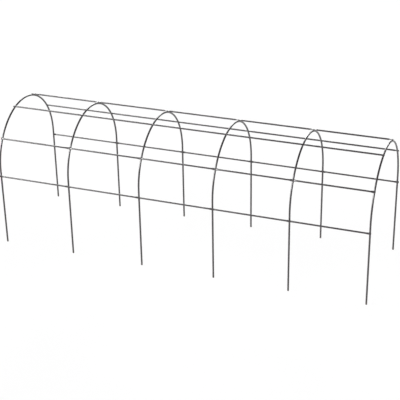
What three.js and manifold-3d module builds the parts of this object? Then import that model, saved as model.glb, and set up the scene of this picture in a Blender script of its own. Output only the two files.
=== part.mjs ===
// Garden trellis tunnel: a row of round-topped hoops of thin coated steel tube, tied together by straight rails.
// The rails lie on the outside of the hoops. Where they cross, the rail is pressed flat and a screw holds it down.
//
// Millimetres, +Z up. X runs along the tunnel, -Y is the front side, and the origin is on the ground, under the
// middle of the tunnel. Every hoop stands in a plane of constant X.

import * as THREE from 'three';
import { mergeVertices } from 'three/addons/utils/BufferGeometryUtils.js';
import Module from 'manifold-3d';

// ---------------------------------------------------------------- driving dimensions

const HOOP_COUNT = 6;
const HOOP_PITCH = 600; // from one hoop to the next, along X
const HOOP_RADIUS = 450; // centreline radius of the round top
const BEND_HEIGHT = 640; // height where the straight legs start to bend

const HOOP_TUBE = { radius: 7, wall: 1 };
const RAIL_TUBE = { radius: 6.35, wall: 1 };

const ARCH_TAIL = 105; // straight length below the bend at each end of an arch
const NECK_LENGTH = 40; // reduced end of a leg, inside the arch's tail
const NECK_TAPER = 1.5;
const FOOT_THICKNESS = 2; // the closed lower end of a leg
const FOOT_CHAMFER = 1;

// Rails, as distances along the hoop from its highest point.
const RAIL_ROWS = { top: 150, shoulder: 450, side: 755 };
const CHORDS_TO_TOP_ROW = 2.5; // so that the arch's rails meet the middle of a chord

// The flats that a rail has at its crossings: outer width and thickness, the length of a flat, and the length over
// which it turns back into round tube. Steepness is how fast the section climbs from its edge to its flat.
const PRESS = { width: 17, thickness: 5, length: 24, blend: 16, steepness: 1.16 };
const RAIL_PROUD = 10; // how far a rail's end stands out past the end hoop's plane

const SCREW = { shank: 2, head: 4.2, headTop: 3, headHeight: 2.4, headEdge: 1.3, length: 10.5, point: 3 };

const CLEARANCE = 0.3; // between pieces that touch
const TUBE_SIDES = 12;
const SCREW_SIDES = 8;

// ---------------------------------------------------------------- derived dimensions

const QUARTER = HOOP_RADIUS * Math.PI / 2;
const CHORD = RAIL_ROWS.top / CHORDS_TO_TOP_ROW;
const CORNER_RADIUS = HOOP_RADIUS / Math.cos(CHORD / 2 / HOOP_RADIUS); // puts each chord's middle on the hoop
const JOINT_HEIGHT = BEND_HEIGHT - ARCH_TAIL;
const RAIL_OFFSET = HOOP_TUBE.radius + CLEARANCE + PRESS.thickness / 2;
const HEAD_SEAT = RAIL_OFFSET + PRESS.thickness / 2 + CLEARANCE;
const HOLE_RADIUS = SCREW.shank + CLEARANCE;
const TUNNEL_LENGTH = HOOP_PITCH * (HOOP_COUNT - 1);
const RAIL_END = TUNNEL_LENGTH / 2 + RAIL_PROUD;
const SIDES = { front: 1, back: -1 };

const hoopPlace = (hoop) => (hoop - 1) * HOOP_PITCH - TUNNEL_LENGTH / 2;

// ---------------------------------------------------------------- materials

const coatedSteel = () => new THREE.MeshStandardMaterial({ color: 0x4b4749, roughness: 0.5, metalness: 0.35 });
const railSteel = () => new THREE.MeshStandardMaterial({ color: 0x524d50, roughness: 0.5, metalness: 0.35 });
const screwSteel = () => new THREE.MeshStandardMaterial({ color: 0x3c3a3c, roughness: 0.4, metalness: 0.8 });

// ---------------------------------------------------------------- tube sections

// A section gives a corner's place across and outward, at a turn round the tube. Inset is 0 on the outside of the
// tube and the wall's thickness on its inside.
const roundSection = (radius) => (inset, turn) => [
  (radius - inset) * Math.cos(turn),
  (radius - inset) * Math.sin(turn),
];

function pressedSection(inset, turn) {
  const rise = THREE.MathUtils.clamp(PRESS.steepness * Math.sin(turn), -1, 1);
  return [(PRESS.width / 2 - inset) * Math.cos(turn), (PRESS.thickness / 2 - inset) * rise];
}

// ---------------------------------------------------------------- swept tubes

// The corners of a station's section, on the outside or the inside of the tube.
function ring({ centre, across, outward, section }, inset) {
  const corners = [];
  for (let side = 0; side < TUBE_SIDES; side += 1) {
    const [right, out] = section(inset, side * 2 * Math.PI / TUBE_SIDES);
    corners.push(centre.clone().addScaledVector(across, right).addScaledVector(outward, out));
  }
  return corners;
}

// A closed skin through rings, with the last ring joined back to the first.
function skin(rings) {
  const positions = rings.flat().flatMap((corner) => corner.toArray());
  const index = [];
  for (let row = 0; row < rings.length; row += 1) {
    const next = (row + 1) % rings.length;
    for (let side = 0; side < TUBE_SIDES; side += 1) {
      const turned = (side + 1) % TUBE_SIDES;
      const a = row * TUBE_SIDES + side;
      const b = row * TUBE_SIDES + turned;
      const c = next * TUBE_SIDES + turned;
      const d = next * TUBE_SIDES + side;
      index.push(a, c, b, a, d, c);
    }
  }
  const geometry = new THREE.BufferGeometry();
  geometry.setAttribute('position', new THREE.Float32BufferAttribute(positions, 3));
  geometry.setIndex(index);
  geometry.computeVertexNormals();
  return geometry;
}

// An open-ended tube through stations, each with its centre, its two section directions and its section. Across,
// then outward, turns left-handed about the way the stations run, so that the skin faces out.
function tubeThrough(stations, wall) {
  const outside = stations.map((station) => ring(station, 0));
  const inside = stations.map((station) => ring(station, wall)).reverse();
  return skin([...outside, ...inside]);
}

// ---------------------------------------------------------------- drilled holes

const wasm = await Module();
wasm.setup();

function toSolid(geometry) {
  const bare = geometry.clone();
  bare.deleteAttribute('normal');
  bare.deleteAttribute('uv');
  const merged = mergeVertices(bare);
  const mesh = new wasm.Mesh({
    numProp: 3,
    vertProperties: new Float32Array(merged.attributes.position.array),
    triVerts: new Uint32Array(merged.index.array),
  });
  return new wasm.Manifold(mesh);
}

function toGeometry(solid) {
  const mesh = solid.getMesh();
  const geometry = new THREE.BufferGeometry();
  geometry.setAttribute('position', new THREE.BufferAttribute(mesh.vertProperties, 3));
  geometry.setIndex(new THREE.BufferAttribute(mesh.triVerts, 1));
  geometry.computeVertexNormals();
  return geometry;
}

// A tube with a screw hole through each of the given places, each a centre and the hole's direction.
function drilled(geometry, places, depth) {
  let solid = toSolid(geometry);
  const corner = HOLE_RADIUS / Math.cos(Math.PI / SCREW_SIDES);
  for (const { centre, direction } of places) {
    const drill = new THREE.CylinderGeometry(corner, corner, depth, SCREW_SIDES);
    drill.applyQuaternion(new THREE.Quaternion().setFromUnitVectors(new THREE.Vector3(0, 1, 0), direction));
    drill.translate(centre.x, centre.y, centre.z);
    solid = solid.subtract(toSolid(drill));
  }
  return toGeometry(solid);
}

// ---------------------------------------------------------------- hoops

// A place beside a hoop's centreline in the YZ plane, at a distance along it from the top; positive is the back.
function besideHoop(along, radius) {
  const reach = Math.min(Math.abs(along), QUARTER);
  const turn = Math.sign(along) * reach / HOOP_RADIUS;
  const drop = Math.abs(along) - reach;
  const outward = new THREE.Vector3(0, Math.sin(turn), Math.cos(turn));
  const centre = new THREE.Vector3(0, 0, BEND_HEIGHT - drop).addScaledVector(outward, radius);
  return { centre, outward };
}

function archStation(along) {
  const radius = Math.abs(along) < QUARTER ? CORNER_RADIUS : HOOP_RADIUS;
  const across = new THREE.Vector3(1, 0, 0);
  return { ...besideHoop(along, radius), across, section: roundSection(HOOP_TUBE.radius) };
}

// The round top with a straight tail at each end, drilled through its outer wall where a rail crosses it.
function archGeometry() {
  const half = [];
  for (let along = CHORD; along < QUARTER; along += CHORD) {
    half.push(along);
  }
  half.push(QUARTER, QUARTER + ARCH_TAIL);
  const distances = [...half.map((along) => -along).reverse(), 0, ...half];
  const tube = tubeThrough(distances.map(archStation), HOOP_TUBE.wall);
  const holes = Object.values(RAIL_ROWS).flatMap((along) => [along, -along]).map((along) => {
    const { centre, outward } = besideHoop(along, HOOP_RADIUS + HOOP_TUBE.radius);
    return { centre, direction: outward };
  });
  return drilled(tube, holes, HOOP_TUBE.radius);
}

// A straight leg, closed at the foot and necked at the top to plug into the arch.
function legGeometry() {
  const outer = HOOP_TUBE.radius;
  const bore = outer - HOOP_TUBE.wall;
  const neck = bore - CLEARANCE;
  const neckBore = neck - HOOP_TUBE.wall;
  const shoulder = JOINT_HEIGHT - CLEARANCE;
  const top = JOINT_HEIGHT + NECK_LENGTH;
  const innerTaper = shoulder - NECK_TAPER - HOOP_TUBE.wall;
  const profile = [
    [0, 0],
    [outer - FOOT_CHAMFER, 0],
    [outer, FOOT_CHAMFER],
    [outer, shoulder - NECK_TAPER],
    [neck, shoulder],
    [neck, top],
    [neckBore, top],
    [neckBore, shoulder - HOOP_TUBE.wall],
    [bore, innerTaper],
    [bore, FOOT_THICKNESS],
    [0, FOOT_THICKNESS],
  ];
  const points = profile.map(([radius, height]) => new THREE.Vector2(radius, height));
  return new THREE.LatheGeometry(points, TUBE_SIDES).rotateX(Math.PI / 2);
}

// ---------------------------------------------------------------- rails

function railStation(x, section) {
  return {
    centre: new THREE.Vector3(x, 0, 0),
    across: new THREE.Vector3(0, -1, 0),
    outward: new THREE.Vector3(0, 0, 1),
    section,
  };
}

// A straight tube along X, pressed flat and drilled where it crosses each hoop. Its ends are flats too.
function railGeometry() {
  const flat = PRESS.length / 2;
  const round = flat + PRESS.blend;
  const stations = [];
  const holes = [];
  for (let hoop = 1; hoop <= HOOP_COUNT; hoop += 1) {
    const x = hoopPlace(hoop);
    const start = hoop === 1 ? -RAIL_END : x - flat;
    const end = hoop === HOOP_COUNT ? RAIL_END : x + flat;
    if (hoop > 1) {
      stations.push(railStation(x - round, roundSection(RAIL_TUBE.radius)));
    }
    stations.push(railStation(start, pressedSection), railStation(end, pressedSection));
    if (hoop < HOOP_COUNT) {
      stations.push(railStation(x + round, roundSection(RAIL_TUBE.radius)));
    }
    holes.push({ centre: new THREE.Vector3(x, 0, 0), direction: new THREE.Vector3(0, 0, 1) });
  }
  return drilled(tubeThrough(stations, RAIL_TUBE.wall), holes, 2 * PRESS.thickness);
}

// ---------------------------------------------------------------- screws

// A pan-head screw along Z. Its frame's origin is on the hoop's centreline, and +Z points out of the tunnel.
function screwGeometry() {
  const tip = HEAD_SEAT - SCREW.length;
  const profile = [
    [0, tip],
    [SCREW.shank, tip + SCREW.point],
    [SCREW.shank, HEAD_SEAT],
    [SCREW.head, HEAD_SEAT],
    [SCREW.head, HEAD_SEAT + SCREW.headEdge],
    [SCREW.headTop, HEAD_SEAT + SCREW.headHeight],
    [0, HEAD_SEAT + SCREW.headHeight],
  ];
  const points = profile.map(([radius, height]) => new THREE.Vector2(radius, height));
  return new THREE.LatheGeometry(points, SCREW_SIDES).rotateX(Math.PI / 2);
}

// ---------------------------------------------------------------- assembly

const group = new THREE.Group();

function addPiece(name, geometry, material, position, turn = 0) {
  const piece = new THREE.Mesh(geometry, material);
  piece.name = name;
  piece.position.copy(position);
  piece.rotation.x = turn;
  group.add(piece);
}

const arch = archGeometry();
const leg = legGeometry();
const rail = railGeometry();
const screw = screwGeometry();

for (let hoop = 1; hoop <= HOOP_COUNT; hoop += 1) {
  const x = hoopPlace(hoop);
  addPiece(`arch_${hoop}`, arch, coatedSteel(), new THREE.Vector3(x, 0, 0));
  for (const [side, sign] of Object.entries(SIDES)) {
    addPiece(`leg_${side}_${hoop}`, leg, coatedSteel(), new THREE.Vector3(x, -sign * HOOP_RADIUS, 0));
  }
}

for (const [row, along] of Object.entries(RAIL_ROWS)) {
  const seat = besideHoop(-along, HOOP_RADIUS).centre;
  const axis = besideHoop(-along, HOOP_RADIUS + RAIL_OFFSET).centre;
  const turn = Math.min(along, QUARTER) / HOOP_RADIUS;
  for (const [side, sign] of Object.entries(SIDES)) {
    addPiece(`rail_${row}_${side}`, rail, railSteel(), new THREE.Vector3(0, sign * axis.y, axis.z), sign * turn);
    for (let hoop = 1; hoop <= HOOP_COUNT; hoop += 1) {
      const place = new THREE.Vector3(hoopPlace(hoop), sign * seat.y, seat.z);
      addPiece(`screw_${row}_${side}_${hoop}`, screw, screwSteel(), place, sign * turn);
    }
  }
}

export default group;
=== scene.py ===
"""Garden trellis tunnel in metres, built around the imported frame.

Smooth coated hoops on plugged legs, rails pressed flat and screwed on at each crossing, in a pale studio.
"""

import math

import bmesh
import bpy
from mathutils import Matrix, Vector


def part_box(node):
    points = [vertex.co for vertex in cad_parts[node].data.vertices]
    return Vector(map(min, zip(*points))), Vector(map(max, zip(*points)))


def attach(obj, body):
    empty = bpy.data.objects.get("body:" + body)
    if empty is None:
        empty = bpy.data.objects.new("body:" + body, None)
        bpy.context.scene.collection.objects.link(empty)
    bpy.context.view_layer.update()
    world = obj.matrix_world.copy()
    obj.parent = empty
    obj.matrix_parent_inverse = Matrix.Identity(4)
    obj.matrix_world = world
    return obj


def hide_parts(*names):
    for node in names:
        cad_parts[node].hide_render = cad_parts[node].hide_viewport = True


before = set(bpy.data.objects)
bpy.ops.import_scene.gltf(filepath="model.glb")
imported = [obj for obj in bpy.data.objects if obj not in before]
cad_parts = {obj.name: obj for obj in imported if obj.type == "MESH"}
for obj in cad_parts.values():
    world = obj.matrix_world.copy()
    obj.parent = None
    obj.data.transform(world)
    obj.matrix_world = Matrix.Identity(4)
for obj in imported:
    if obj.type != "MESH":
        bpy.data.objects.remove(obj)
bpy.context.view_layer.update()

MM = 0.001
ALONG = Vector((1, 0, 0))
BACK = Vector((0, 1, 0))
UP = Vector((0, 0, 1))
ROWS = ("top", "shoulder", "side")
SIDES = {"front": -1, "back": 1}
HOOPS = range(1, 7)

# ---------------------------------------------------------------- sizes read from the frame


def middle(node):
    low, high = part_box(node)
    return (low + high) / 2


leg_low, leg_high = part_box("leg_front_1")
arch_low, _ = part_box("arch_1")
_, rail_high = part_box("rail_top_front")

HOOP_TUBE = (leg_high.x - leg_low.x) / 2
HOOP_RADIUS = abs(middle("leg_front_1").y)
JOINT_HEIGHT = arch_low.z
LEG_TOP = leg_high.z
RAIL_END = rail_high.x
HOOP_PLACES = [middle(f"arch_{hoop}").x for hoop in HOOPS]

# ---------------------------------------------------------------- sizes that no box in the frame gives

BEND_HEIGHT = JOINT_HEIGHT + 105.0 * MM
RAIL_TUBE = 6.35 * MM  # radius
TUBE_WALL = 1.0 * MM
FIT_GAP = 0.3 * MM
RIM_ROUND = 0.35 * MM  # on a cut tube end
RIM_LENGTH = 2.0 * MM  # from a cut tube end to the next ring of corners
NECK_TAPER = 1.5 * MM
NECK_CORNER = 0.2 * MM  # where a leg's neck meets its shoulder
FOOT_ROUND = 2.2 * MM
FOOT_CENTRE = 2.1 * MM  # radius of the flat face in the middle of a foot
FOOT_THICKNESS = 2.0 * MM
FOOT_FILLET = 1.0 * MM  # inside, round the closed end
PRESS_WIDTH = 17.0 * MM
PRESS_THICKNESS = 5.0 * MM
PRESS_FLAT = 12.0 * MM  # half the length of a flat
PRESS_BLEND = 16.0 * MM  # over which a flat turns back into round tube
PRESS_STEEPNESS = 1.16  # flat as wide as a screw head, then falling away to the edges
RAIL_OFFSET = HOOP_TUBE + FIT_GAP + PRESS_THICKNESS / 2
SEAT_GAP = 0.05 * MM  # between a flat and the screw head on it
SCREW_SEAT = RAIL_OFFSET + PRESS_THICKNESS / 2 + SEAT_GAP
SCREW_HEAD = 4.2 * MM  # radius
SCREW_HEAD_HEIGHT = 2.6 * MM
SCREW_HEAD_EDGE = 1.0 * MM  # height of the head's straight side
SCREW_HEAD_CHAMFER = 0.25 * MM
SCREW_CORE = 1.55 * MM
SCREW_THREAD = 0.42 * MM  # how far the thread stands out of the core
SCREW_PITCH = 1.4 * MM
SCREW_LENGTH = 10.5 * MM
SCREW_POINT = 3.0 * MM
SCREW_TIP = 0.04  # the tip's size, as a part of the shank's
RECESS_WIDTH = 0.84 * MM
RECESS_REACH = 2.1 * MM
RECESS_DEPTH = 1.5 * MM
HOLE_RADIUS = 2.3 * MM
HOLE_MARGIN = 3.0 * MM  # of tube left whole beside a hole, on each side

TUBE_SIDES = 32
SCREW_SIDES = 24
SHARP_ANGLE = math.radians(40)
BEND_STEP = 15 * MM  # along the bend
DRILL_TURN = 0.4 * math.pi / SCREW_SIDES  # keeps the corners of a drill off the edges of a tube
ARC_CENTRE = Vector((0, 0, BEND_HEIGHT))
QUARTER = HOOP_RADIUS * math.pi / 2  # from the top of a hoop to the end of its bend


# ---------------------------------------------------------------- mesh helpers


def new_mesh(name, points, faces):
    mesh = bpy.data.meshes.new(name)
    mesh.from_pydata([tuple(point) for point in points], [], faces)
    mesh.validate()
    return mesh


def finish_piece(name, mesh, node, material):
    """Shows a mesh, already in the row frame, in place of one CAD node."""
    mesh.shade_smooth()
    mesh.set_sharp_from_angle(angle=SHARP_ANGLE)
    mesh.materials.append(material)
    piece = bpy.data.objects.new(name, mesh)
    bpy.context.scene.collection.objects.link(piece)
    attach(piece, "root")
    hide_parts(node)


def skin(rings, loop):
    """Points and faces through equal rings, joined last to first in a loop or closed at each end."""
    sides = len(rings[0])
    points = [point for row in rings for point in row]
    faces = []
    for row in range(len(rings) if loop else len(rings) - 1):
        start = row * sides
        end = (row + 1) % len(rings) * sides
        for side in range(sides):
            turned = (side + 1) % sides
            faces.append((start + side, end + side, end + turned, start + turned))
    if not loop:
        faces.append(tuple(range(sides)))
        faces.append(tuple(reversed(range(len(points) - sides, len(points)))))
    return points, faces


def rounding(size, steps=4):
    """(inset, back) pairs of a rounded edge, from the end face round to the side."""
    turns = [math.pi / 2 * step / steps for step in range(steps + 1)]
    return [(size * (1 - math.sin(turn)), size * (1 - math.cos(turn))) for turn in turns]


def facing_out(mesh):
    """Turns a closed mesh's faces the right way out."""
    work = bmesh.new()
    work.from_mesh(mesh)
    bmesh.ops.recalc_face_normals(work, faces=work.faces)
    work.to_mesh(mesh)
    work.free()
    return mesh


def cut(mesh, tools):
    """The mesh with every tool mesh cut out of it."""
    base = bpy.data.objects.new("base", facing_out(mesh))
    bpy.context.scene.collection.objects.link(base)
    drills = []
    for tool in tools:
        drill = bpy.data.objects.new("drill", facing_out(tool))
        bpy.context.scene.collection.objects.link(drill)
        drills.append(drill)
        modifier = base.modifiers.new("cut", "BOOLEAN")
        modifier.operation = "DIFFERENCE"
        modifier.solver = "EXACT"
        modifier.object = drill
    bpy.context.view_layer.update()
    result = bpy.data.meshes.new_from_object(base.evaluated_get(bpy.context.evaluated_depsgraph_get()))
    for helper in (base, *drills):
        bpy.data.objects.remove(helper)
    return result


# ---------------------------------------------------------------- tube sections and hollow tubes


def round_section(radius):
    """A section gives a point's (across, outward) from its inset into the wall and its turn."""
    return lambda inset, turn: ((radius - inset) * math.cos(turn), (radius - inset) * math.sin(turn))


def pressed_section(amount):
    """The rail's section, from round at 0 to fully pressed at 1."""
    tube = round_section(RAIL_TUBE)

    def section(inset, turn):
        round_across, round_out = tube(inset, turn)
        rise = max(-1.0, min(1.0, PRESS_STEEPNESS * math.sin(turn)))
        flat_across = (PRESS_WIDTH / 2 - inset) * math.cos(turn)
        flat_out = (PRESS_THICKNESS / 2 - inset) * rise
        return (
            round_across + (flat_across - round_across) * amount,
            round_out + (flat_out - round_out) * amount,
        )

    return section


class Station:
    """A place on a tube's centreline, with its section's two directions and the way the tube runs."""

    def __init__(self, centre, across, outward, forward, section):
        self.centre = centre
        self.across = across
        self.outward = outward
        self.forward = forward
        self.section = section

    def ring(self, inset, shift=0.0, sides=TUBE_SIDES):
        points = []
        for side in range(sides):
            across, out = self.section(inset, 2 * math.pi * side / sides)
            points.append(self.centre + self.forward * shift + self.across * across + self.outward * out)
        return points


def hollow_tube(stations, wall):
    """An open tube with rounded rims at its first and last station."""
    first, last = stations[0], stations[-1]
    rim = rounding(RIM_ROUND)
    rings = [first.ring(inset, back) for inset, back in rim]
    rings += [station.ring(0) for station in stations[1:-1]]
    rings += [last.ring(inset, -back) for inset, back in reversed(rim)]
    rings += [last.ring(wall - inset, -back) for inset, back in rim]
    rings += [station.ring(wall) for station in reversed(stations[1:-1])]
    rings += [first.ring(wall - inset, back) for inset, back in reversed(rim)]
    return skin(rings, loop=True)


def drill_mesh(centre, direction, depth):
    """A cylinder that cuts a screw's hole, turned so that no corner meets an edge of the tube."""
    turned = Matrix.Rotation(DRILL_TURN, 3, direction)
    across = turned @ ALONG
    side = turned @ direction.cross(ALONG)
    rings = []
    for end in (-depth, depth):
        station = Station(centre + direction * end, across, side, direction, round_section(HOLE_RADIUS))
        rings.append(station.ring(0, sides=SCREW_SIDES))
    return new_mesh("drill", *skin(rings, loop=False))


# ---------------------------------------------------------------- where rails cross a hoop


def crossing(row, side):
    """The hoop's centreline point under a rail and the way out of the tunnel there, in the plane X = 0."""
    axis = middle(f"rail_{row}_{side}")
    axis.x = 0
    above = max(0.0, axis.z - BEND_HEIGHT)
    outward = Vector((0, axis.y, above)).normalized()
    return axis - outward * RAIL_OFFSET, outward


CROSSINGS = {(row, side): crossing(row, side) for row in ROWS for side in SIDES}


def crossing_frame(row, side):
    """The frame of a crossing in the plane X = 0: its X runs along the tunnel and its Z out of it."""
    seat, outward = CROSSINGS[row, side]
    upright = Matrix((ALONG, outward.cross(ALONG), outward)).transposed().to_4x4()
    return Matrix.Translation(seat) @ upright


# ---------------------------------------------------------------- materials


class Nodes:
    """Short ways to add and link shader nodes to one new material."""

    def __init__(self, name):
        self.material = bpy.data.materials.new(name)
        self.material.use_nodes = True
        self.tree = self.material.node_tree
        self.tree.nodes.clear()

    def add(self, kind, values=None, **settings):
        node = self.tree.nodes.new("ShaderNode" + kind)
        for key, value in settings.items():
            setattr(node, key, value)
        for key, value in (values or {}).items():
            node.inputs[key].default_value = value
        return node

    def link(self, output, target):
        self.tree.links.new(output, target)

    def noise(self, scale, detail=2.0, roughness=0.5):
        """Noise in the row frame, with features about 1/scale metres across."""
        texture = self.add("TexNoise", {"Scale": scale, "Detail": detail, "Roughness": roughness})
        self.link(self.add("TexCoord").outputs["Object"], texture.inputs["Vector"])
        return texture.outputs["Fac"]

    def remap(self, value, from_low, from_high, to_low=0.0, to_high=1.0):
        node = self.add("MapRange", {1: from_low, 2: from_high, 3: to_low, 4: to_high})
        self.link(value, node.inputs["Value"])
        return node.outputs["Result"]

    def math(self, operation, a, b):
        node = self.add("Math", operation=operation)
        self.link(a, node.inputs[0])
        self.link(b, node.inputs[1])
        return node.outputs[0]

    def mix(self, factor, first, second):
        """Mixes two colours, each a tuple or an output."""
        node = self.add("Mix", data_type="RGBA")
        self.link(factor, node.inputs["Factor"])
        for key, colour in ((6, first), (7, second)):
            if isinstance(colour, tuple):
                node.inputs[key].default_value = (*colour, 1)
            else:
                self.link(colour, node.inputs[key])
        return node.outputs[2]

    def bump(self, height, distance, strength=1.0, base=None):
        node = self.add("Bump", {"Strength": strength, "Distance": distance})
        self.link(height, node.inputs["Height"])
        if base is not None:
            self.link(base, node.inputs["Normal"])
        return node.outputs["Normal"]

    def edges(self, low, high):
        """1 on worn convex edges, 0 elsewhere."""
        return self.remap(self.add("NewGeometry").outputs["Pointiness"], low, high)

    def facing_up(self, low, high):
        split = self.add("SeparateXYZ")
        self.link(self.add("NewGeometry").outputs["Normal"], split.inputs[0])
        return self.remap(split.outputs["Z"], low, high)

    def near_ground(self, top):
        """1 on the ground, falling to 0 at a height above it."""
        split = self.add("SeparateXYZ")
        self.link(self.add("TexCoord").outputs["Object"], split.inputs[0])
        return self.remap(split.outputs["Z"], top, 0.0)

    def surface(self, colour, roughness, normal, **sockets):
        values = {key.replace("_", " "): value for key, value in sockets.items()}
        shader = self.add("BsdfPrincipled", values)
        output = self.add("OutputMaterial")
        self.link(colour, shader.inputs["Base Color"])
        self.link(roughness, shader.inputs["Roughness"])
        if normal is not None:
            self.link(normal, shader.inputs["Normal"])
        self.link(shader.outputs["BSDF"], output.inputs["Surface"])
        return self.material


BARE_STEEL = (0.20, 0.19, 0.185)
RUBBED_STEEL = (0.34, 0.33, 0.32)
PALE_DUST = (0.085, 0.078, 0.082)
SOIL = (0.085, 0.064, 0.048)


def powder_coat(name, dark, light, gloss_index):
    """Satin powder coat: mottled tone, orange peel, dust on top, worn rims and soil-rubbed feet."""
    n = Nodes(name)
    tone = n.mix(n.remap(n.noise(14, 4, 0.6), 0.35, 0.65), dark, light)
    speck = n.mix(n.remap(n.noise(900, 1), 0.62, 0.75, 0, 0.4), tone, light)
    dusty = n.math("MULTIPLY", n.facing_up(0.2, 1.0), n.remap(n.noise(45, 5, 0.65), 0.4, 0.75, 0, 0.5))
    settled = n.mix(dusty, speck, PALE_DUST)
    soiled = n.math("MULTIPLY", n.near_ground(0.05), n.remap(n.noise(120, 6, 0.7), 0.4, 0.6, 0, 0.9))
    earthy = n.mix(soiled, settled, SOIL)
    worn = n.math("MULTIPLY", n.edges(0.53, 0.6), n.remap(n.noise(260, 3), 0.42, 0.6))
    colour = n.mix(worn, earthy, BARE_STEEL)
    satin = n.remap(n.noise(60, 4, 0.6), 0.3, 0.7, 0.2, 0.32)
    roughness = n.math("MAXIMUM", satin, n.remap(soiled, 0, 1, 0.3, 0.85))
    peel = n.bump(n.noise(520, 2), 0.05 * MM, 0.5)
    grain = n.bump(n.noise(2600, 1), 0.02 * MM, 0.35, peel)
    return n.surface(colour, roughness, grain, IOR=gloss_index)


def phosphated_steel(name, dark, light):
    """Blackened screw steel, rubbed bright on its edges."""
    n = Nodes(name)
    tone = n.mix(n.remap(n.noise(700, 3, 0.6), 0.35, 0.65), dark, light)
    worn = n.math("MULTIPLY", n.edges(0.55, 0.7), n.remap(n.noise(1500, 2), 0.4, 0.6, 0.1, 0.9))
    colour = n.mix(worn, tone, RUBBED_STEEL)
    roughness = n.remap(n.noise(900, 3), 0.3, 0.7, 0.32, 0.5)
    return n.surface(colour, roughness, n.bump(n.noise(3200, 2), 0.02 * MM, 0.5), Metallic=0.85)


hoop_coat = powder_coat("hoop_coat", (0.0165, 0.0120, 0.0145), (0.0275, 0.0222, 0.0250), gloss_index=1.72)
rail_coat = powder_coat("rail_coat", (0.0165, 0.0125, 0.0148), (0.0275, 0.0227, 0.0250), gloss_index=1.64)
screw_steel = phosphated_steel("screw_steel", dark=(0.045, 0.043, 0.044), light=(0.085, 0.082, 0.083))


# ---------------------------------------------------------------- hoops


def arch_station(distance):
    """A place on a hoop's centreline, at a distance along it from the top; positive is the back."""
    reach = min(abs(distance), QUARTER)
    turn = math.copysign(reach, distance) / HOOP_RADIUS
    outward = Vector((0, math.sin(turn), math.cos(turn)))
    forward = Vector((0, math.cos(turn), -math.sin(turn)))
    centre = ARC_CENTRE + outward * HOOP_RADIUS - UP * (abs(distance) - reach)
    return Station(centre, ALONG, outward, forward, round_section(HOOP_TUBE))


def arch_distances():
    """Distances of an arch's stations: even steps round the bend, and a close pair beside each hole."""
    end = QUARTER + BEND_HEIGHT - JOINT_HEIGHT
    beside_hole = HOLE_RADIUS + HOLE_MARGIN
    clear_of_hole = beside_hole + 2 * MM
    skipped = clear_of_hole + 1 * MM
    holes = []
    for seat, outward in CROSSINGS.values():
        turned = math.atan2(outward.y, outward.z) * HOOP_RADIUS
        below = max(0.0, BEND_HEIGHT - seat.z)
        holes.append(turned + math.copysign(below, turned))
    steps = round(QUARTER / BEND_STEP)
    regular = [QUARTER * step / steps for step in range(-steps, steps + 1)]
    distances = [place for place in regular if all(abs(place - hole) > skipped for hole in holes)]
    for hole in holes:
        for reach in (beside_hole, clear_of_hole):
            distances += [hole - reach, hole + reach]
    distances += [sign * (end - back) for back in (0, RIM_LENGTH) for sign in (-1, 1)]
    return sorted(distances)


def arch_mesh():
    """A hoop's round top in the plane X = 0, drilled through its outer wall under each rail."""
    stations = [arch_station(distance) for distance in arch_distances()]
    tube = new_mesh("arch", *hollow_tube(stations, TUBE_WALL))
    drills = []
    for seat, outward in CROSSINGS.values():
        drills.append(drill_mesh(seat + outward * HOOP_TUBE, outward, HOOP_TUBE / 2))
    return cut(tube, drills)


def leg_profile():
    """(radius, height) from the middle of the closed foot, up the outside, then down the bore."""
    bore = HOOP_TUBE - TUBE_WALL
    neck = bore - FIT_GAP
    neck_bore = neck - TUBE_WALL
    shoulder = JOINT_HEIGHT - FIT_GAP
    foot = rounding(FOOT_ROUND, 6)
    rim = rounding(RIM_ROUND)
    profile = [(FOOT_CENTRE, 0.0)]
    profile += [(HOOP_TUBE - inset, back) for inset, back in foot]
    profile += [(HOOP_TUBE, FOOT_ROUND + RIM_LENGTH), (HOOP_TUBE, shoulder - RIM_LENGTH)]
    profile += [(HOOP_TUBE - inset, shoulder - back) for inset, back in reversed(rim)]
    profile += [(neck + NECK_CORNER, shoulder), (neck, shoulder + NECK_CORNER)]
    profile += [(neck - inset, LEG_TOP - back) for inset, back in reversed(rim)]
    profile += [(neck_bore + inset, LEG_TOP - back) for inset, back in rim]
    profile += [(neck_bore, shoulder - TUBE_WALL), (bore, shoulder - TUBE_WALL - NECK_TAPER)]
    profile += [(bore, FOOT_THICKNESS + FOOT_FILLET), (bore - FOOT_FILLET, FOOT_THICKNESS)]
    return profile


def leg_mesh():
    """A leg standing on the origin."""
    rings = []
    for radius, height in leg_profile():
        station = Station(UP * height, ALONG, -BACK, UP, round_section(radius))
        rings.append(station.ring(0))
    return new_mesh("leg", *skin(rings, loop=False))


def moved(mesh, matrix):
    copy = mesh.copy()
    copy.transform(matrix)
    return copy


arch = arch_mesh()
leg = leg_mesh()
for hoop, hoop_x in zip(HOOPS, HOOP_PLACES):
    mesh = moved(arch, Matrix.Translation((hoop_x, 0, 0)))
    finish_piece(f"hoop_top_{hoop}", mesh, f"arch_{hoop}", hoop_coat)
    for side, sign in SIDES.items():
        mesh = moved(leg, Matrix.Translation((hoop_x, sign * HOOP_RADIUS, 0)))
        finish_piece(f"hoop_leg_{side}_{hoop}", mesh, f"leg_{side}_{hoop}", hoop_coat)

# ---------------------------------------------------------------- rails


def press_amount(x):
    """How far a rail is pressed at x: 1 at a crossing, 0 in between, with a smooth slope."""
    distance = min(abs(x - place) for place in HOOP_PLACES)
    part = max(0.0, min(1.0, (PRESS_FLAT + PRESS_BLEND - distance) / PRESS_BLEND))
    return part * part * (3 - 2 * part)


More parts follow.
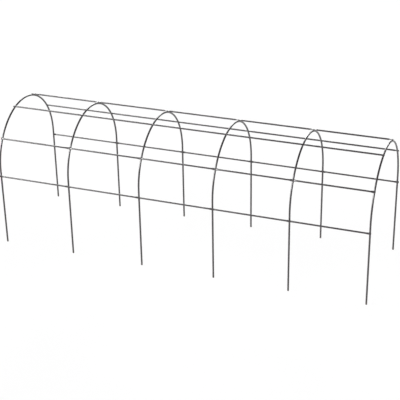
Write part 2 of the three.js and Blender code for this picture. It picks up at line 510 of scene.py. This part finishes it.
def rail_places():
    """X of every station of a rail: both ends, and the slopes and ends of every flat."""
    slope_steps = 8
    reaches = [PRESS_FLAT + PRESS_BLEND * step / slope_steps for step in range(slope_steps + 1)]
    places = {-RAIL_END, RAIL_END, 1 * MM - RAIL_END, RAIL_END - 1 * MM}
    for place in HOOP_PLACES:
        places.update(place + sign * reach for reach in reaches for sign in (-1, 1))
    return sorted(place for place in places if abs(place) <= RAIL_END)


def rail_mesh(row, side):
    """A rail in its place, drilled at every hoop."""
    seat, outward = CROSSINGS[row, side]
    axis = seat + outward * RAIL_OFFSET
    across = ALONG.cross(outward)
    stations = []
    for x in rail_places():
        section = pressed_section(press_amount(x))
        stations.append(Station(axis + ALONG * x, across, outward, ALONG, section))
    tube = new_mesh("rail", *hollow_tube(stations, TUBE_WALL))
    drills = [drill_mesh(axis + ALONG * x, outward, PRESS_THICKNESS) for x in HOOP_PLACES]
    return cut(tube, drills)


rail = rail_mesh("top", "front")
rail_home = crossing_frame("top", "front").inverted()
for row, side in CROSSINGS:
    mesh = moved(rail, crossing_frame(row, side) @ rail_home)
    finish_piece(f"long_rail_{row}_{side}", mesh, f"rail_{row}_{side}", rail_coat)

# ---------------------------------------------------------------- screws


def head_profile():
    """(radius, height) over a pan head, from its seat to the middle of its top."""
    crown = SCREW_HEAD_HEIGHT - SCREW_HEAD_EDGE
    crown_steps = 6
    profile = [
        (SCREW_HEAD - SCREW_HEAD_CHAMFER, 0),
        (SCREW_HEAD, SCREW_HEAD_CHAMFER),
        (SCREW_HEAD, SCREW_HEAD_EDGE),
    ]
    for step in range(1, crown_steps + 1):
        turn = math.pi / 2 * step / (crown_steps + 1)
        profile.append((SCREW_HEAD * math.cos(turn), SCREW_HEAD_EDGE + crown * math.sin(turn)))
    return profile


def thread_radius(height, turn):
    """The shank's radius, with a helical ridge that fades out towards the point."""
    wave = (height / SCREW_PITCH - turn / (2 * math.pi)) % 1
    ridge = max(0.0, 1 - abs(wave - 0.5) * 4)
    taper = min(1.0, (height + SCREW_LENGTH) / SCREW_POINT)
    return (SCREW_CORE + SCREW_THREAD * ridge) * max(taper, SCREW_TIP)


def screw_mesh():
    """A pan-head screw with a cross recess: its seat is at the origin and its point is below it."""

    def ring(radius, height):
        turns = [2 * math.pi * side / SCREW_SIDES for side in range(SCREW_SIDES)]
        radii = [radius(height, turn) if callable(radius) else radius for turn in turns]
        return [Vector((r * math.cos(turn), -r * math.sin(turn), height)) for r, turn in zip(radii, turns)]

    steps_per_turn = 6
    steps = round(SCREW_LENGTH / SCREW_PITCH * steps_per_turn)
    rings = [ring(thread_radius, -SCREW_LENGTH * (1 - step / steps)) for step in range(steps)]
    rings += [ring(SCREW_CORE + SCREW_THREAD, -SEAT_GAP)]
    rings += [ring(radius, height) for radius, height in head_profile()]
    body = new_mesh("screw", *skin(rings, loop=False))
    slots = [recess_mesh(turn) for turn in (0, math.pi / 2)]
    return cut(body, slots)


def recess_mesh(turn):
    """One arm of the cross recess, narrower at the bottom."""
    top = SCREW_HEAD_HEIGHT + 1 * MM
    bottom = SCREW_HEAD_HEIGHT - RECESS_DEPTH
    bottom_reach = RECESS_REACH - 1 * MM
    half_width = RECESS_WIDTH / 2
    outline = ((1, 1), (-1, 1), (-1, -1), (1, -1))
    low = [Vector((bottom_reach * u, 0.8 * half_width * v, bottom)) for u, v in outline]
    high = [Vector((RECESS_REACH * u, half_width * v, top)) for u, v in outline]
    mesh = new_mesh("recess", *skin([low, high], loop=False))
    mesh.transform(Matrix.Rotation(turn, 4, "Z"))
    return mesh


screw = screw_mesh()
for row, side in CROSSINGS:
    seated = crossing_frame(row, side) @ Matrix.Translation(UP * SCREW_SEAT)
    for hoop, hoop_x in zip(HOOPS, HOOP_PLACES):
        driven = Matrix.Rotation(math.radians(47 * hoop + 13 * len(row)), 4, "Z")
        mesh = moved(screw, Matrix.Translation(ALONG * hoop_x) @ seated @ driven)
        node = f"screw_{row}_{side}_{hoop}"
        finish_piece(f"pan_{node}", mesh, node, screw_steel)

for master in (arch, leg, rail, screw):
    bpy.data.meshes.remove(master)

# ---------------------------------------------------------------- studio


def floor_material():
    n = Nodes("pale_floor")
    colour = n.mix(n.remap(n.noise(0.6, 3), 0.3, 0.7), (0.87, 0.87, 0.87), (0.89, 0.89, 0.89))
    return n.surface(colour, n.remap(n.noise(3, 2), 0.3, 0.7, 0.9, 0.97), None, Specular_IOR_Level=0.1)


def add_floor():
    half = 60.0
    corners = [(-half, -half, 0), (half, -half, 0), (half, half, 0), (-half, half, 0)]
    mesh = new_mesh("floor", corners, [(0, 1, 2, 3)])
    mesh.materials.append(floor_material())
    floor = bpy.data.objects.new("floor", mesh)
    bpy.context.scene.collection.objects.link(floor)


def add_sky(strength):
    """An even sky that lights the set softly, with a plain white backdrop behind it."""
    world = bpy.data.worlds.new("studio")
    world.use_nodes = True
    tree = world.node_tree
    light = tree.nodes["Background"]
    backdrop = tree.nodes.new("ShaderNodeBackground")
    for shade, level in ((light, strength), (backdrop, 1.0)):
        shade.inputs["Color"].default_value = (1, 1, 1, 1)
        shade.inputs["Strength"].default_value = level
    seen = tree.nodes.new("ShaderNodeLightPath")
    choice = tree.nodes.new("ShaderNodeMixShader")
    tree.links.new(seen.outputs["Is Camera Ray"], choice.inputs["Fac"])
    tree.links.new(light.outputs["Background"], choice.inputs[1])
    tree.links.new(backdrop.outputs["Background"], choice.inputs[2])
    tree.links.new(choice.outputs["Shader"], tree.nodes["World Output"].inputs["Surface"])
    bpy.context.scene.world = world


def add_big_lamp(direction, strength, spread):
    """A wide, far lamp. It casts no shadows, because the picture's ground is plain white."""
    lamp = bpy.data.lights.new("big_lamp", "SUN")
    lamp.energy = strength
    lamp.angle = math.radians(spread)
    lamp.use_shadow = False
    big_lamp = bpy.data.objects.new("big_lamp", lamp)
    bpy.context.scene.collection.objects.link(big_lamp)
    big_lamp.matrix_world = Vector(direction).to_track_quat("-Z", "Y").to_matrix().to_4x4()


def add_camera():
    """The picture's viewpoint, found by fitting a camera to the hoops, the rails and the feet."""
    azimuth, elevation, roll = math.radians(21.44), math.radians(25.93), math.radians(-1.01)
    place = Vector((3.039, -7.677, 4.423))
    data = bpy.data.cameras.new("camera")
    data.sensor_width = 36.0
    data.lens = 103.85
    data.clip_end = 500.0
    camera = bpy.data.objects.new("camera", data)
    bpy.context.scene.collection.objects.link(camera)
    turn = Matrix.Rotation(azimuth, 4, "Z") @ Matrix.Rotation(math.pi / 2 - elevation, 4, "X")
    camera.matrix_world = Matrix.Translation(place) @ turn @ Matrix.Rotation(roll, 4, "Z")
    bpy.context.scene.camera = camera


add_floor()
add_sky(0.186)
add_big_lamp(direction=(0.65, 0.62, -0.45), strength=5.61, spread=26)
add_big_lamp(direction=(0.45, -0.87, -0.25), strength=1.91, spread=26)
add_camera()
bpy.context.scene.view_settings.view_transform = "Standard"
